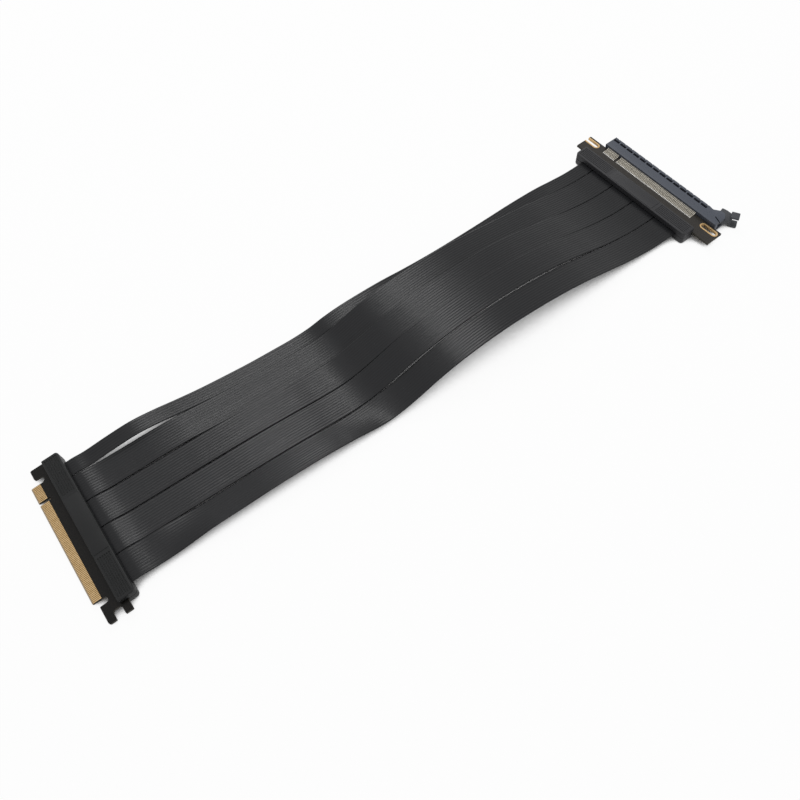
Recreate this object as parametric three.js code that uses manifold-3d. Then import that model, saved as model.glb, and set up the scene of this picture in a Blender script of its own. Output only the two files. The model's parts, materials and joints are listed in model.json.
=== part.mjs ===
// GPU riser cable: a card-edge plug and an x16 card slot, each board clamped in a two-part
// housing, joined by five flat ribbons that lie side by side.
// Millimetres, +Z up. The origin is the middle of the slot housing's underside, on the floor.
// +X points out of the slot's mouth, and the ribbons leave the slot housing towards -X.
import * as THREE from 'three';
import { mergeVertices } from 'three/addons/utils/BufferGeometryUtils.js';
import Module from 'manifold-3d';

const wasm = await Module();
wasm.setup();

// Clearance between pieces that touch
const fit = 0.3;

// Contact row, the same on the plug and in the slot
const contactPitch = 1.0;
const shortContacts = 11;
const longContacts = 71;
const cardMargin = 0.55; // last contact's middle to the card's edge
const keyWidth = 1.9;

// Housing, the same at both ends
const housingLength = 103.4;
const housingDepth = 10.8;
const housingHeight = 9.6;
const housingWall = 1.5;
const ribbonCorner = 2.0; // plan radius of the two corners beside the ribbons
const contactCorner = 0.7; // plan radius of the two corners beside the contacts
const edgeBreak = 0.5; // chamfer along the broad face
const panelLength = 41;
const panelRise = 0.25;
const panelInset = 0.7;
const gripGrooves = 6;
const gripPitch = 1.4;
const grooveWidth = 0.65;
const grooveDepth = 0.4;
const gripGap = 2.6; // plain strip between the panel and the grooves
const gripEnd = 1.6; // plain strip between the grooves and the housing's end

// Boards
const boardThickness = 1.6;
const boardBack = 0.2; // the boards' inner edge, behind the housing's middle
const boardLip = 1.1; // how far ears and tabs reach back beside the housing

// Plug board, seen from above with its fingers towards +X
const fingerReach = 12.9; // housing to finger tips
const fingerLength = 5.1;
const fingerWidth = 0.7;
const fingerRise = 0.08;
const tipBevel = 0.8;
const tipBevelDepth = 0.35;
const tongueShift = 0.7;
const keyDepth = 7.7;
const tabReach = 8.8;
const tabWidth = 7.0;
const tabEnd = 52.4;
const tabSlotBottom = 3.5;
const hookSlotWidth = 3.8;
const hookSlotBottom = 4.2;
const hookReach = 10.1;
const hookEnd = 58.5;
const notchWidth = 5.7;
const notchDepth = 5.7;
const notchRadius = 1.9;
const earReach = 4.7; // board beyond the notch, beside the housing's end

// Slot board
const slotBoardReach = 13.2; // housing to the board's far edge
const leftEarEnd = 59.3;
const rightEarEnd = 65.5;
const screwSlotWidth = 3.4;
const screwSlotLength = 12.6;
const screwSlotInset = 4.0; // far edge to the slot's middle line
const leftSlotMiddle = 54.6;
const rightSlotMiddle = 57.6;
const platingWidth = 0.95;
const platingRise = 0.08;

// Slot body
const slotHeight = 7.5; // across the card
const slotDepth = 11.0; // along the card's travel
const slotEndWall = 2.8;
const cardGap = 1.9;
const cardDepth = 7.9;
const mouthBevel = 0.7;
const keyWall = 1.5;
const windows = 14;
const windowLength = 5.0;
const windowWidth = 0.9;
const windowDepth = 1.2;
const windowSetback = 2.9; // mouth to the window's middle
const rimNotchPitch = 6.52;
const rimNotchWidth = 0.8;
const rimNotchReach = 1.5;
const rimNotchDepth = 0.6;
const legWidth = 0.42;
const legThickness = 0.26;
const legReach = 5.1; // slot body to the foot's end
const legBend = 1.5; // slot body to the bend
const legRise = 1.2;

// Latch and the slot's end that carries it
const cheekThickness = 1.55;
const cheekEnd = 14.1; // body's end wall to the cheeks' end
const cheekBulge = 2.7; // how far the cheeks reach past the mouth
const cheekWaist = 0.6; // how far they draw back beside the body
const cheekWaistLength = 3.4;
const cheekRise = 4.6; // from the waist to the bulge
const cheekShoulder = 2.9; // from the cheeks' end to the bulge
const cheekRound = 1.7;
const footHeight = 3.0;
const pocketStart = 2.4;
const pivotHeight = 6.1; // above the slot's back
const pivotSetback = 8.8; // beyond the body's end wall
const pivotRadius = 0.9;
const pivotLength = 0.75;
const snapWidth = 0.9; // channel that lets the latch's pins snap in
const snapSlant = 2.2; // how far the channel leans towards the board at the cheeks' end
const latchHub = 2.2;
const latchTop = 12.9; // pivot to the nose's far side, out of the mouth
const noseLength = 4.0; // across the nose, along the mouth's travel
const noseReach = 3.0; // pivot to the nose, towards the card
const noseRound = 0.8;
const thumbAngle = 60; // degrees from +X towards the slot's end
const thumbStart = 10.1; // from the pivot, along the thumb lever
const thumbAside = 5.3; // from the pivot, across the thumb lever
const thumbWidth = 5.8;
const thumbLength = 5.8;
const thumbRound = 0.5;
const forkRoot = 1.4;
const prongThickness = 1.5;
const prongSpan = 9.1; // over both prongs

// Ribbons, from the far side (+Y) to the near side
const ribbonWidths = [10.6, 19.4, 19.4, 19.4, 19.4];
const ribbonGap = 0.35;
const ribbonThickness = 1.1;
const ribbonEntry = 1.8; // how far a ribbon reaches into its housing
const ribbonLead = 4.6; // straight stretch outside each housing
const ribbonSteps = 44;
const glueHeight = 5.0;

// Where the plug lies
const plugPlace = { x: -427.1, y: 17.4, heading: -5.1, tilt: 9.5 };

// Ribbons bow a little towards -Y between the housings
const bow = 2.0;

// Each ribbon's lay between its straight ends, chosen by hand: [x, height of its middle]
const ribbonLays = [
  [[-406, 7.0], [-391, 8.9], [-375, 10.2], [-360, 8.8], [-344, 6.0], [-328, 3.7], [-310, 2.1], [-293, 1.0], [-276, 0.7],
    [-260, 0.7], [-248, 1.9], [-236, 4.8], [-222, 6.7], [-192, 7.3], [-170, 5.8], [-146, 4.9], [-118, 5.1], [-96, 5.8],
    [-76, 6.6], [-52, 6.5], [-36, 5.0], [-22, 4.2]],
  [[-406, 6.2], [-388, 6.3], [-370, 6.8], [-352, 6.6], [-334, 5.0], [-316, 3.8], [-298, 2.8], [-280, 2.1], [-264, 1.9],
    [-252, 2.6], [-240, 4.8], [-228, 9.4], [-214, 14.2], [-196, 17.6], [-170, 20.0], [-146, 20.4], [-124, 18.4],
    [-96, 14.8], [-72, 11.6], [-56, 8.6], [-40, 5.9], [-24, 4.2]],
  [[-406, 5.9], [-388, 5.6], [-370, 5.7], [-352, 5.9], [-330, 5.8], [-310, 5.2], [-288, 4.2], [-272, 3.3], [-258, 3.4],
    [-246, 5.6], [-234, 9.4], [-216, 15.6], [-196, 20.0], [-170, 23.0], [-146, 23.8], [-122, 22.8], [-96, 18.6],
    [-72, 13.2], [-52, 8.2], [-36, 5.4], [-24, 4.4]],
  [[-407, 5.7], [-390, 5.3], [-372, 5.3], [-352, 5.3], [-330, 5.5], [-310, 5.2], [-290, 4.2], [-274, 3.3], [-260, 3.4],
    [-248, 5.4], [-236, 9.4], [-216, 17.0], [-194, 22.2], [-166, 25.2], [-142, 25.6], [-118, 23.8], [-92, 19.2],
    [-70, 13.4], [-52, 8.6], [-36, 5.6], [-24, 4.4]],
  [[-408, 6.4], [-392, 6.5], [-374, 6.9], [-354, 7.3], [-332, 8.3], [-312, 8.3], [-296, 7.6], [-280, 6.0], [-266, 4.9],
    [-254, 4.9], [-242, 6.8], [-230, 10.4], [-214, 16.4], [-196, 21.2], [-168, 24.6], [-144, 24.6], [-120, 22.6],
    [-94, 18.4], [-72, 13.0], [-54, 8.6], [-38, 5.8], [-24, 4.4]],
];
// The nearest ribbon leans, with its near edge up, over one stretch
const leanStart = -402;
const leanEnd = -246;
const leanRamp = 34;
const leanAngle = 15;
const leaning = [false, false, false, false, true];

// Values worked out from the sizes above
const rad = THREE.MathUtils.degToRad;
const contactSide = housingDepth / 2;
const ribbonSide = -housingDepth / 2;
const halfLength = housingLength / 2;
const halfHeight = housingHeight / 2;
const halfBoard = boardThickness / 2;
const boardInside = halfLength - housingWall - fit;
const boardPass = contactSide - boardLip;
const rowSpan = (shortContacts + longContacts - 2) * contactPitch + 2 * cardMargin + keyWidth;
const tongueWidth = rowSpan + 2 * cardMargin;
const keyMiddle = rowSpan / 2 - (shortContacts - 1) * contactPitch - cardMargin - keyWidth / 2;
const beyond = 5; // how far cutting shapes overshoot

// The contacts' places along Y, with the short group at +Y
function contactPlaces() {
  const places = [];
  for (let i = 0; i < shortContacts; i++) places.push(rowSpan / 2 - i * contactPitch);
  const restart = keyMiddle - keyWidth / 2 - cardMargin;
  for (let i = 0; i < longContacts; i++) places.push(restart - i * contactPitch);
  return places;
}

// Solids from three.js geometry, and back
function solid(geometry) {
  const bare = geometry.clone();
  for (const name of Object.keys(bare.attributes)) {
    if (name !== 'position') bare.deleteAttribute(name);
  }
  const merged = mergeVertices(bare, 1e-5);
  return new wasm.Manifold(new wasm.Mesh({
    numProp: 3,
    vertProperties: new Float32Array(merged.getAttribute('position').array),
    triVerts: new Uint32Array(merged.index.array),
  }));
}

function geometryOf(body) {
  const mesh = body.getMesh();
  const geometry = new THREE.BufferGeometry();
  geometry.setAttribute('position', new THREE.BufferAttribute(mesh.vertProperties, 3));
  geometry.setIndex(new THREE.BufferAttribute(mesh.triVerts, 1));
  return geometry;
}

const joined = (bodies) => bodies.reduce((sum, body) => sum.add(body));

function block([x0, x1], [y0, y1], [z0, z1]) {
  const box = new THREE.BoxGeometry(x1 - x0, y1 - y0, z1 - z0);
  return solid(box.translate((x0 + x1) / 2, (y0 + y1) / 2, (z0 + z1) / 2));
}

// A closed outline from corners [x, y, radius], each rounded by a true arc
function outline(corners) {
  const shape = new THREE.Shape();
  const count = corners.length;
  corners.forEach(([x, y, radius = 0], i) => {
    const here = new THREE.Vector2(x, y);
    const [px, py] = corners[(i + count - 1) % count];
    const [nx, ny] = corners[(i + 1) % count];
    const back = new THREE.Vector2(px, py).sub(here).normalize();
    const ahead = new THREE.Vector2(nx, ny).sub(here).normalize();
    if (radius === 0) {
      if (i === 0) shape.moveTo(x, y);
      else shape.lineTo(x, y);
      return;
    }
    const half = Math.acos(THREE.MathUtils.clamp(back.dot(ahead), -1, 1)) / 2;
    const run = radius / Math.tan(half);
    const start = here.clone().addScaledVector(back, run);
    const end = here.clone().addScaledVector(ahead, run);
    const middle = back.clone().add(ahead).normalize().multiplyScalar(radius / Math.sin(half)).add(here);
    const from = Math.atan2(start.y - middle.y, start.x - middle.x);
    const to = Math.atan2(end.y - middle.y, end.x - middle.x);
    if (i === 0) shape.moveTo(start.x, start.y);
    else shape.lineTo(start.x, start.y);
    shape.absarc(middle.x, middle.y, radius, from, to, back.cross(ahead) > 0);
  });
  shape.closePath();
  return shape;
}

// A plan outline raised along Z
function plate(corners, [z0, z1], arcSteps = 3) {
  const settings = { depth: z1 - z0, bevelEnabled: false, curveSegments: arcSteps };
  return solid(new THREE.ExtrudeGeometry(outline(corners), settings).translate(0, 0, z0));
}

// An outline in X and Z drawn out along Y
function bar(corners, [y0, y1], arcSteps = 3) {
  const settings = { depth: y1 - y0, bevelEnabled: false, curveSegments: arcSteps };
  return solid(new THREE.ExtrudeGeometry(outline(corners), settings).rotateX(Math.PI / 2).translate(0, y1, 0));
}

function piece(name, body, { color, roughness, metalness }) {
  const mesh = new THREE.Mesh(geometryOf(body), new THREE.MeshStandardMaterial({ color, roughness, metalness }));
  mesh.name = name;
  return mesh;
}

const shellPlastic = { color: 0x2f3032, roughness: 0.55, metalness: 0 };
const jacketPlastic = { color: 0x2c2d30, roughness: 0.45, metalness: 0 };
const slotPlastic = { color: 0x4a505c, roughness: 0.5, metalness: 0 };
const latchPlastic = { color: 0x55585f, roughness: 0.5, metalness: 0 };
const boardMask = { color: 0x17181a, roughness: 0.35, metalness: 0 };
const glue = { color: 0x8c8a80, roughness: 0.6, metalness: 0 };

// One half of a housing, as the upper half. The board leaves at +X and the ribbons at -X.
// endPass lets a board out through the +Y end wall, from that X on.
function housingHalf(endPass = null) {
  const parting = fit / 2;
  const face = halfHeight - panelRise;
  const plan = (inset) => [
    [ribbonSide + inset, -halfLength + inset, ribbonCorner - inset],
    [contactSide - inset, -halfLength + inset, Math.max(contactCorner - inset, 0.2)],
    [contactSide - inset, halfLength - inset, Math.max(contactCorner - inset, 0.2)],
    [ribbonSide + inset, halfLength - inset, ribbonCorner - inset],
  ];
  const settings = {
    depth: face - edgeBreak, bevelEnabled: true, bevelThickness: edgeBreak, bevelSize: edgeBreak,
    bevelSegments: 1, curveSegments: 3,
  };
  let half = solid(new THREE.ExtrudeGeometry(outline(plan(edgeBreak)), settings));
  half = half.subtract(block([ribbonSide - beyond, contactSide + beyond],
    [-halfLength - beyond, halfLength + beyond], [-beyond, parting]));

  // Raised panel in the middle of the broad face
  const panelEdge = panelLength / 2;
  half = half.add(plate([
    [ribbonSide + panelInset, -panelEdge, 0.4], [contactSide - panelInset, -panelEdge, 0.4],
    [contactSide - panelInset, panelEdge, 0.4], [ribbonSide + panelInset, panelEdge, 0.4],
  ], [face - panelRise, face + panelRise], 1));

  // Grip grooves towards both ends
  const grooves = [];
  for (let i = 0; i < gripGrooves; i++) {
    const x = (i - (gripGrooves - 1) / 2) * gripPitch;
    for (const side of [-1, 1]) {
      const inner = side * (panelEdge + gripGap);
      const outer = side * (halfLength - gripEnd);
      const run = [Math.min(inner, outer), Math.max(inner, outer)];
      grooves.push(bar([
        [x - grooveWidth / 2, face + beyond], [x - grooveWidth / 2, face],
        [x, face - grooveDepth], [x + grooveWidth / 2, face], [x + grooveWidth / 2, face + beyond],
      ], run));
    }
  }
  half = half.subtract(joined(grooves));

  // Hollow, board slot and ribbon slot
  const inside = (wall) => plan(wall).map(([x, y]) => [x, y, 0.2]);
  half = half.subtract(plate(inside(housingWall), [-beyond, face - housingWall], 1));
  const boardRoom = halfBoard + fit;
  half = half.subtract(block([contactSide - housingWall, contactSide + beyond],
    [-halfLength - beyond, halfLength + beyond], [-beyond, boardRoom]));
  if (endPass !== null) {
    half = half.subtract(block([endPass - fit, contactSide + beyond],
      [boardInside - beyond, halfLength + beyond], [-beyond, boardRoom]));
  }
  const ribbonRoom = ribbonThickness / 2 + fit;
  const bundle = ribbonsAcross() / 2 + fit;
  half = half.subtract(block([ribbonSide - beyond, ribbonSide + housingWall + fit], [-bundle, bundle],
    [-beyond, ribbonRoom]));
  return half;
}

// The lower half is the upper half turned over about X or Y, so that its openings line up
function addHousing(group, prefix, endPass) {
  const upper = piece(`${prefix}_upper_shell`, housingHalf(endPass), shellPlastic);
  const lower = piece(`${prefix}_lower_shell`, housingHalf(endPass).mirror([0, 0, 1]), shellPlastic);
  group.add(upper, lower);
}

// Hot-melt bar that seals the soldered ribbon ends to the board's inner edge
function addGlue(group, prefix) {
  const start = ribbonSide + ribbonEntry + fit;
  const end = -boardBack - fit;
  const half = Math.min(boardInside, ribbonsAcross() / 2 + 1);
  const top = glueHeight / 2;
  const profile = [[start, -top, 0.8], [end, -top, 0.8], [end, top, 0.8], [start, top, 0.8]];
  group.add(piece(`${prefix}_wire_glue`, bar(profile, [-half, half], 2), glue));
}

// Plug board, with its key notch, tab, hook and gold fingers
function plugBoard() {
  const tip = contactSide + fingerReach;
  const tongueLow = tongueShift - tongueWidth / 2;
  const tongueHigh = tongueShift + tongueWidth / 2;
  const keyY = tongueShift - keyMiddle;
  const keyEnd = tip - keyDepth;
  const tabInner = -tabEnd + tabWidth;
  const tabSlotEnd = contactSide + tabSlotBottom;
  const tabSlotRadius = (tongueLow - tabInner) / 2;
  const hookInner = tongueHigh + hookSlotWidth;
  const hookSlotEnd = contactSide + hookSlotBottom;
  const hookTip = contactSide + hookReach;
  const notchStart = contactSide - fit + notchWidth;
  const notchStop = notchStart - notchWidth;
  const notchFloor = hookEnd - notchDepth;
  const earBack = notchStop - earReach;
  const corners = [
    [-boardBack, -boardInside], [boardPass, -boardInside], [boardPass, -tabEnd],
    [contactSide + tabReach, -tabEnd, 1.0], [contactSide + tabReach, tabInner, 0.9],
    [tabSlotEnd, tabInner, tabSlotRadius * 0.98], [tabSlotEnd, tongueLow, tabSlotRadius * 0.98],
    [tip, tongueLow, 0.4],
    [tip, keyY - keyWidth / 2], [keyEnd, keyY - keyWidth / 2, keyWidth * 0.49],
    [keyEnd, keyY + keyWidth / 2, keyWidth * 0.49], [tip, keyY + keyWidth / 2],
    [tip, tongueHigh, 0.4],
    [hookSlotEnd, tongueHigh, hookSlotWidth * 0.49], [hookSlotEnd, hookInner, hookSlotWidth * 0.49],
    [hookTip, hookInner, 0.5], [hookTip, hookEnd, 1.3], [notchStart, hookEnd, 0.4],
    [notchStart, notchFloor, notchRadius], [notchStop, notchFloor, notchRadius],
    [notchStop, hookEnd, 0.4], [earBack, hookEnd, 0.4], [earBack, boardInside], [-boardBack, boardInside],
  ];
  let board = plate(corners, [-halfBoard, halfBoard]);
  for (const face of [-1, 1]) {
    board = board.subtract(bar([
      [tip - tipBevel, face * halfBoard], [tip + 1, face * (halfBoard - tipBevelDepth * (1 + 1 / tipBevel))],
      [tip + 1, face * (halfBoard + 1)], [tip - tipBevel, face * (halfBoard + 1)],
    ], [tongueLow - 1, tongueHigh + 1]));
  }
  const fingers = [];
  const fingerEnd = tip - tipBevel;
  for (const y of contactPlaces()) {
    const middle = tongueShift - y;
    fingers.push(block([fingerEnd - fingerLength, fingerEnd], [middle - fingerWidth / 2, middle + fingerWidth / 2],
      [-halfBoard - fingerRise, halfBoard + fingerRise]));
  }
  return { board: board.add(joined(fingers)), earBack };
}

// An upright slot with round ends, along Y
function roundSlot(x, y, length, width, [z0, z1], arcSteps = 4) {
  const reach = length / 2;
  const half = width / 2;
  return plate([
    [x - half, y - reach, half * 0.98], [x + half, y - reach, half * 0.98],
    [x + half, y + reach, half * 0.98], [x - half, y + reach, half * 0.98],
  ], [z0, z1], arcSteps);
}

// Slot board, with an ear and a plated screw slot at each end
function slotBoard() {
  const edge = contactSide + slotBoardReach;
  const corners = [
    [-boardBack, -boardInside], [boardPass, -boardInside], [boardPass, -rightEarEnd], [edge, -rightEarEnd],
    [edge, leftEarEnd], [boardPass, leftEarEnd], [boardPass, boardInside], [-boardBack, boardInside],
  ];
  let board = plate(corners, [-halfBoard, halfBoard]);
  const x = edge - screwSlotInset;
  const thick = halfBoard + platingRise;
  const bounds = block([boardPass, edge], [-rightEarEnd, leftEarEnd], [-beyond, beyond]);
  for (const y of [leftSlotMiddle, -rightSlotMiddle]) {
    const ring = roundSlot(x, y, screwSlotLength + 2 * platingWidth, screwSlotWidth + 2 * platingWidth, [-thick, thick]);
    board = board.add(ring.intersect(bounds));
  }
  for (const y of [leftSlotMiddle, -rightSlotMiddle]) {
    board = board.subtract(roundSlot(x, y, screwSlotLength, screwSlotWidth, [-beyond, beyond]));
  }
  return board;
}

// Slot body, with its card slot, windows, solder legs and latch cheeks
const slotBack = contactSide + slotBoardReach + fit;
const slotMouth = slotBack + slotDepth;
const slotHalf = slotHeight / 2;
const slotFarEnd = tongueWidth / 2 + slotEndWall;
const latchGap = slotHalf - cheekThickness; // half the room between the cheeks
const pivot = { x: slotBack + pivotHeight, y: -slotFarEnd - pivotSetback };

function cheekOutline() {
  const root = -slotFarEnd + slotEndWall;
  const end = -slotFarEnd - cheekEnd;
  const waist = slotMouth - cheekWaist;
  const waistEnd = -slotFarEnd - cheekWaistLength;
  const bulge = slotMouth + cheekBulge;
  return [
    [slotBack, root], [slotBack, end, cheekRound / 2], [slotMouth - cheekWaist, end, cheekRound],
    [bulge, end + cheekShoulder, cheekRound], [bulge, waistEnd - cheekRise, cheekRound],
    [waist, waistEnd, cheekRound / 2], [slotMouth, -slotFarEnd], [slotMouth, root],
  ];
}

function slotBody() {
  let body = block([slotBack, slotMouth], [-slotFarEnd, slotFarEnd], [-slotHalf, slotHalf]);
  body = body.add(plate(cheekOutline(), [-slotHalf, slotHalf]));

  // Latch pocket, the pivot sockets and the channels that lead to them from the cheeks' end
  const end = -slotFarEnd - cheekEnd;
  body = body.subtract(block([slotBack + footHeight, slotMouth + cheekBulge + 1],
    [end - 1, -slotFarEnd - pocketStart], [-latchGap, latchGap]));
  const socketReach = latchGap + pivotLength;
  const socket = new THREE.CylinderGeometry(pivotRadius + fit, pivotRadius + fit, 2 * socketReach, 16);
  body = body.subtract(solid(socket.rotateX(Math.PI / 2).translate(pivot.x, pivot.y, 0)));
  const snap = snapWidth / 2;
  body = body.subtract(plate([
    [pivot.x - snap, pivot.y], [pivot.x - snap - snapSlant, end - 1], [pivot.x + snap - snapSlant, end - 1],
    [pivot.x + snap, pivot.y],
  ], [-slotHalf - 1, slotHalf + 1]));

  // Card slot on both sides of the key wall, with a bevelled mouth
  const high = tongueWidth / 2 + fit;
  const keyHigh = keyMiddle + keyWall / 2;
  const keyLow = keyMiddle - keyWall / 2;
  for (const run of [[-high, keyLow], [keyHigh, high]]) {
    const half = cardGap / 2;
    body = body.subtract(bar([
      [slotMouth - cardDepth, -half], [slotMouth - mouthBevel, -half], [slotMouth + 1, -half - mouthBevel - 1],
      [slotMouth + 1, half + mouthBevel + 1], [slotMouth - mouthBevel, half], [slotMouth - cardDepth, half],
    ], run));
  }

  // Windows and rim notches on both broad faces
  const pitch = 2 * slotFarEnd / windows;
  const cuts = [];
  for (let i = 0; i < windows; i++) {
    const y = slotFarEnd - (i + 0.5) * pitch;
    const notchY = slotFarEnd - pitch / 2 - i * rimNotchPitch;
    const x = slotMouth - windowSetback;
    for (const face of [-1, 1]) {
      const across = (depth) => [face * (slotHalf - depth), face * (slotHalf + 1)].sort((a, b) => a - b);
      cuts.push(block([x - windowWidth / 2, x + windowWidth / 2],
        [y - windowLength / 2, y + windowLength / 2], across(windowDepth)));
      cuts.push(block([slotMouth - rimNotchReach, slotMouth + 1],
        [notchY - rimNotchWidth / 2, notchY + rimNotchWidth / 2], across(rimNotchDepth)));
    }
  }
  body = body.subtract(joined(cuts));

  // Solder legs that straddle the board
  const legs = [];
  const low = halfBoard + 0.12;
  for (const y of contactPlaces()) {
    for (const face of [-1, 1]) {
      const profile = [
        [slotBack - legReach, low], [slotBack - legBend, low], [slotBack + 0.2, low + legRise],
        [slotBack + 0.2, low + legRise + legThickness], [slotBack - legBend - 0.1, low + legThickness],
        [slotBack - legReach, low + legThickness],
      ].map(([x, z]) => [x, face * z]);
      legs.push(bar(face > 0 ? profile : profile.reverse(), [y - legWidth / 2, y + legWidth / 2]));
    }
  }
  return body.add(joined(legs));
}

// Retention latch: a hub on two stub pins, a nose over the card and a forked thumb lever
function latch() {
  const half = latchGap - fit;
  const turn = rad(thumbAngle);
  const along = new THREE.Vector2(Math.cos(turn), -Math.sin(turn));
  const across = new THREE.Vector2(-along.y, along.x);
  const at = (run, side) => [
    pivot.x + along.x * run + across.x * side, pivot.y + along.y * run + across.y * side,
  ];
  const low = thumbAside - thumbWidth / 2;
  const high = thumbAside + thumbWidth / 2;
  const noseX = pivot.x + latchTop;
  const noseY = pivot.y + noseReach;
  const web = plate([
    [pivot.x - latchHub, pivot.y - latchHub, latchHub * 0.9],
    at(thumbStart, low), at(thumbStart + forkRoot, low), at(thumbStart + forkRoot, high),
    [noseX, noseY - noseLength, noseRound], [noseX - noseRound, noseY, noseRound],
    [noseX - noseLength - noseRound, noseY - noseRound, noseRound],
    [pivot.x + latchHub, pivot.y + latchHub], [pivot.x - latchHub, pivot.y + latchHub, latchHub * 0.9],
  ], [-half, half]);
  const thumb = plate([
    [...at(thumbStart, low), thumbRound], [...at(thumbStart + thumbLength, low), thumbRound],
    [...at(thumbStart + thumbLength, high), thumbRound], [...at(thumbStart, high), thumbRound],
  ], [-prongSpan / 2, prongSpan / 2], 2);
  const forkGap = prongSpan / 2 - prongThickness;
  const fork = plate([
    at(thumbStart + forkRoot, low - 1), at(thumbStart + thumbLength + 1, low - 1),
    at(thumbStart + thumbLength + 1, high + 1), at(thumbStart + forkRoot, high + 1),
  ], [-forkGap, forkGap]);
  const pinReach = latchGap + pivotLength - fit;
  const pins = new THREE.CylinderGeometry(pivotRadius, pivotRadius, 2 * pinReach, 16);
  return joined([web, thumb.subtract(fork), solid(pins.rotateX(Math.PI / 2).translate(pivot.x, pivot.y, 0))]);
}

// Width of the whole ribbon bundle, and each ribbon's middle across it
function ribbonsAcross() {
  return ribbonWidths.reduce((sum, width) => sum + width, 0) + (ribbonWidths.length - 1) * ribbonGap;
}

function laneMiddles() {
  let edge = ribbonsAcross() / 2;
  return ribbonWidths.map((width) => {
    const middle = edge - width / 2;
    edge -= width + ribbonGap;
    return middle;
  });
}

// A smooth route whose width direction stays level, apart from a stretch where it may lean
class RibbonRoute extends THREE.CatmullRomCurve3 {
  constructor(points, leans) {
    super(points, false, 'centripetal');
    this.leans = leans;
  }

  leanAt(x) {
    if (!this.leans) return 0;
    const rise = THREE.MathUtils.smoothstep(x, leanStart, leanStart + leanRamp);
    const fall = THREE.MathUtils.smoothstep(x, leanEnd - leanRamp, leanEnd);
    return rad(leanAngle) * (rise - fall);
  }

  computeFrenetFrames(segments) {
    const frames = { tangents: [], normals: [], binormals: [] };
    for (let i = 0; i <= segments; i++) {
      const tangent = this.getTangentAt(i / segments);
      const side = new THREE.Vector3(-tangent.y, tangent.x, 0).normalize();
      side.applyAxisAngle(tangent, -this.leanAt(this.getPointAt(i / segments).x));
      frames.tangents.push(tangent);
      frames.normals.push(side);
      frames.binormals.push(new THREE.Vector3().crossVectors(tangent, side));
    }
    return frames;
  }
}

// The route's ends are straight, along each housing, and its lane runs between them with the bow
function ribbonRoute(index, plugMatrix) {
  const lane = laneMiddles()[index];
  const inner = ribbonSide + ribbonEntry;
  const atPlug = (x) => new THREE.Vector3(x, -lane, 0).applyMatrix4(plugMatrix);
  const atSlot = (x) => new THREE.Vector3(x, lane, halfHeight);
  const starts = [inner, ribbonSide, ribbonSide - ribbonLead].map(atPlug);
  const ends = [ribbonSide - ribbonLead, ribbonSide, inner].map(atSlot);
  const from = starts[2];
  const to = ends[0];
  const middle = ribbonLays[index].map(([x, height]) => {
    const share = (x - from.x) / (to.x - from.x);
    const aside = bow * Math.sin(Math.PI * share) ** 2;
    return new THREE.Vector3(x, THREE.MathUtils.lerp(from.y, to.y, share) - aside, height);
  });
  return new RibbonRoute([...starts, ...middle, ...ends], leaning[index]);
}

function ribbon(index, plugMatrix) {
  const half = ribbonWidths[index] / 2;
  const thick = ribbonThickness / 2;
  const edge = 0.35;
  const section = new THREE.Shape([
    [-half + edge, -thick], [half - edge, -thick], [half, -thick * 0.35], [half, thick * 0.35],
    [half - edge, thick], [-half + edge, thick], [-half, thick * 0.35], [-half, -thick * 0.35],
  ].map(([x, y]) => new THREE.Vector2(x, y)));
  const settings = { steps: ribbonSteps, bevelEnabled: false, extrudePath: ribbonRoute(index, plugMatrix) };
  return solid(new THREE.ExtrudeGeometry(section, settings));
}

// The plug lies tilted on the lower edge of its housing, fingers down
const riser = new THREE.Group();
const slotEnd = new THREE.Group();
slotEnd.position.z = halfHeight;
riser.add(slotEnd);
addHousing(slotEnd, 'slot', null);
slotEnd.add(piece('slot_board', slotBoard(), boardMask));
addGlue(slotEnd, 'slot');
slotEnd.add(piece('slot_body', slotBody(), slotPlastic));
slotEnd.add(piece('latch', latch(), latchPlastic));

const tilt = rad(plugPlace.tilt);
const lowEdge = halfHeight * Math.cos(tilt) + (contactSide - panelInset) * Math.sin(tilt);
const plugEnd = new THREE.Group();
plugEnd.rotation.set(0, tilt, Math.PI + rad(plugPlace.heading), 'ZYX');
plugEnd.position.set(plugPlace.x, plugPlace.y, lowEdge);
riser.add(plugEnd);
const { board: plugCard, earBack } = plugBoard();
addHousing(plugEnd, 'plug', earBack);
plugEnd.add(piece('plug_board', plugCard, boardMask));
addGlue(plugEnd, 'plug');
plugEnd.updateMatrixWorld(true);

ribbonWidths.forEach((width, index) => {
  riser.add(piece(`ribbon_${index + 1}`, ribbon(index, plugEnd.matrixWorld), jacketPlastic));
});

export default riser;
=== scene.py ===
import json
import math

import bmesh
import bpy
from mathutils import Matrix, Quaternion, Vector


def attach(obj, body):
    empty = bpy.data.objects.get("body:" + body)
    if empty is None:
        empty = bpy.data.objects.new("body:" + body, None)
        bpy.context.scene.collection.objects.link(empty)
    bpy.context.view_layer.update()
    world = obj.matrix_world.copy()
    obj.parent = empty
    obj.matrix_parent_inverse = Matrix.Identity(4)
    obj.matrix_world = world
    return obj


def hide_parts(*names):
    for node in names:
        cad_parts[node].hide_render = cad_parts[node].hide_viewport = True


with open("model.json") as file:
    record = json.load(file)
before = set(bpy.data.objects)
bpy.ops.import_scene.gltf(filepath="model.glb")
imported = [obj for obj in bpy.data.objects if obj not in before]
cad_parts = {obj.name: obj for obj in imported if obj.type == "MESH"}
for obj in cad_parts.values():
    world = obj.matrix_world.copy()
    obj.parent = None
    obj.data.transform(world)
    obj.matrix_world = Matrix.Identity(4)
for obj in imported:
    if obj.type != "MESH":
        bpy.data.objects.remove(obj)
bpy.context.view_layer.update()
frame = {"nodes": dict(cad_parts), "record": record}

# The scene is modelled in millimetres and brought to metres as each piece is finished
MM = 0.001

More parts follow.
